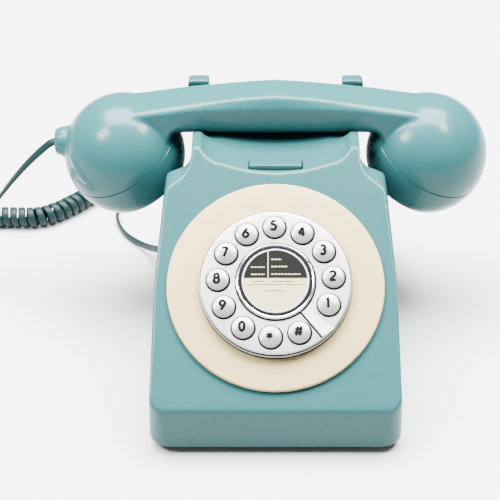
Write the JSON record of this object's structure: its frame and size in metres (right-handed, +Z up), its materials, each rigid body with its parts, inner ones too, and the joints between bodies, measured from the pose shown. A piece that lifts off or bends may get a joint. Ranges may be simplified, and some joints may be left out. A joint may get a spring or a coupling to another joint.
{
  "type": "rotary-style push-button desk telephone",
  "caption": "Retro desk telephone with a round dial plate of push keys, a centre redial key, a cradle with a hook switch and a lift-off handset on a curly cord.",
  "frame": {"origin": "on the desk, under the middle of the object without its cord", "axes": "+X to the caller's right along the handset, +Y from the front wall to the back, +Z up"},
  "size_m": [0.3713, 0.2491, 0.1295],
  "materials": {
    "housing_teal": "gloss",
    "handset_teal": "gloss",
    "cream_ring": "satin",
    "silver_plate": "satin",
    "chrome_trim": "polished",
    "black_trim": "gloss",
    "label_card": "satin",
    "key_grey": "satin",
    "rubber": "matte",
    "circuit_board": "satin",
    "black_plastic": "matte",
    "steel": "satin",
    "clear_plastic": "gloss",
    "cord_teal": "satin"
  },
  "bodies": {
    "housing": {"body_shell": "housing_teal", "base_plate": "black_plastic", "base_screw_1": "steel", "base_screw_2": "steel", "base_screw_3": "steel", "base_screw_4": "steel", "foot_1": "rubber", "foot_2": "rubber", "foot_3": "rubber", "foot_4": "rubber", "main_board": "circuit_board", "ringer_speaker": "steel", "ballast_plate": "steel", "dial_surround": "cream_ring", "dial_plate": "silver_plate", "key_mat": "rubber", "keypad_board": "circuit_board", "centre_bezel": "chrome_trim", "centre_ring": "black_trim", "hook_spring": "steel", "hook_bracket": "black_plastic", "hook_microswitch": "black_plastic", "handset_socket": "black_plastic", "plug_base": "clear_plastic", "cord_tail_base": "cord_teal", "cord_curl": "cord_teal", "line_socket": "black_plastic", "ringer_switch_frame": "steel"},
    "handset": {"handset_body": "handset_teal", "ear_cap": "handset_teal", "mouth_cap": "handset_teal", "microphone_capsule": "steel", "receiver_capsule": "steel", "handset_weight": "steel", "cord_gland": "handset_teal", "plug_handset": "clear_plastic", "cord_tail_handset": "cord_teal"},
    "hook": {"hook_bar": "housing_teal"},
    "ringer_knob": {"ringer_switch": "black_plastic"},
    "redial": {"redial_key": "label_card"},
    "key_1_body": {"key_1": "key_grey"},
    "key_2_body": {"key_2": "key_grey"},
    "key_3_body": {"key_3": "key_grey"},
    "key_4_body": {"key_4": "key_grey"},
    "key_5_body": {"key_5": "key_grey"},
    "key_6_body": {"key_6": "key_grey"},
    "key_7_body": {"key_7": "key_grey"},
    "key_8_body": {"key_8": "key_grey"},
    "key_9_body": {"key_9": "key_grey"},
    "key_0_body": {"key_0": "key_grey"},
    "key_star_body": {"key_star": "key_grey"},
    "key_hash_body": {"key_hash": "key_grey"}
  },
  "joints": [
    {"name": "handset_lift", "type": "slide", "parent": "housing", "child": "handset", "axis": [0, 0, 1], "range_m": [0, 0.08]},
    {"name": "hook_travel", "type": "slide", "parent": "housing", "child": "hook", "axis": [0, 0, 1], "range_m": [0, 0.004], "deforming": ["hook_spring"]},
    {"name": "ringer_slide", "type": "slide", "parent": "housing", "child": "ringer_knob", "axis": [1, 0, 0], "range_m": [-0.002, 0.002]},
    {"name": "redial_press", "type": "slide", "parent": "housing", "child": "redial", "axis": [0, 0.5736, -0.8192], "range_m": [0, 0.0012], "stiffness_N_per_m": 500},
    {"name": "key_1_press", "type": "slide", "parent": "housing", "child": "key_1_body", "axis": [0, 0.5736, -0.8192], "range_m": [0, 0.0015], "stiffness_N_per_m": 400},
    {"name": "key_2_press", "type": "slide", "parent": "housing", "child": "key_2_body", "axis": [0, 0.5736, -0.8192], "range_m": [0, 0.0015], "stiffness_N_per_m": 400},
    {"name": "key_3_press", "type": "slide", "parent": "housing", "child": "key_3_body", "axis": [0, 0.5736, -0.8192], "range_m": [0, 0.0015], "stiffness_N_per_m": 400},
    {"name": "key_4_press", "type": "slide", "parent": "housing", "child": "key_4_body", "axis": [0, 0.5736, -0.8192], "range_m": [0, 0.0015], "stiffness_N_per_m": 400},
    {"name": "key_5_press", "type": "slide", "parent": "housing", "child": "key_5_body", "axis": [0, 0.5736, -0.8192], "range_m": [0, 0.0015], "stiffness_N_per_m": 400},
    {"name": "key_6_press", "type": "slide", "parent": "housing", "child": "key_6_body", "axis": [0, 0.5736, -0.8192], "range_m": [0, 0.0015], "stiffness_N_per_m": 400},
    {"name": "key_7_press", "type": "slide", "parent": "housing", "child": "key_7_body", "axis": [0, 0.5736, -0.8192], "range_m": [0, 0.0015], "stiffness_N_per_m": 400},
    {"name": "key_8_press", "type": "slide", "parent": "housing", "child": "key_8_body", "axis": [0, 0.5736, -0.8192], "range_m": [0, 0.0015], "stiffness_N_per_m": 400},
    {"name": "key_9_press", "type": "slide", "parent": "housing", "child": "key_9_body", "axis": [0, 0.5736, -0.8192], "range_m": [0, 0.0015], "stiffness_N_per_m": 400},
    {"name": "key_0_press", "type": "slide", "parent": "housing", "child": "key_0_body", "axis": [0, 0.5736, -0.8192], "range_m": [0, 0.0015], "stiffness_N_per_m": 400},
    {"name": "key_star_press", "type": "slide", "parent": "housing", "child": "key_star_body", "axis": [0, 0.5736, -0.8192], "range_m": [0, 0.0015], "stiffness_N_per_m": 400},
    {"name": "key_hash_press", "type": "slide", "parent": "housing", "child": "key_hash_body", "axis": [0, 0.5736, -0.8192], "range_m": [0, 0.0015], "stiffness_N_per_m": 400}
  ],
  "couplings": [
    {"joint": "hook_travel", "follows": "handset_lift", "ratio": 0.05}
  ]
}
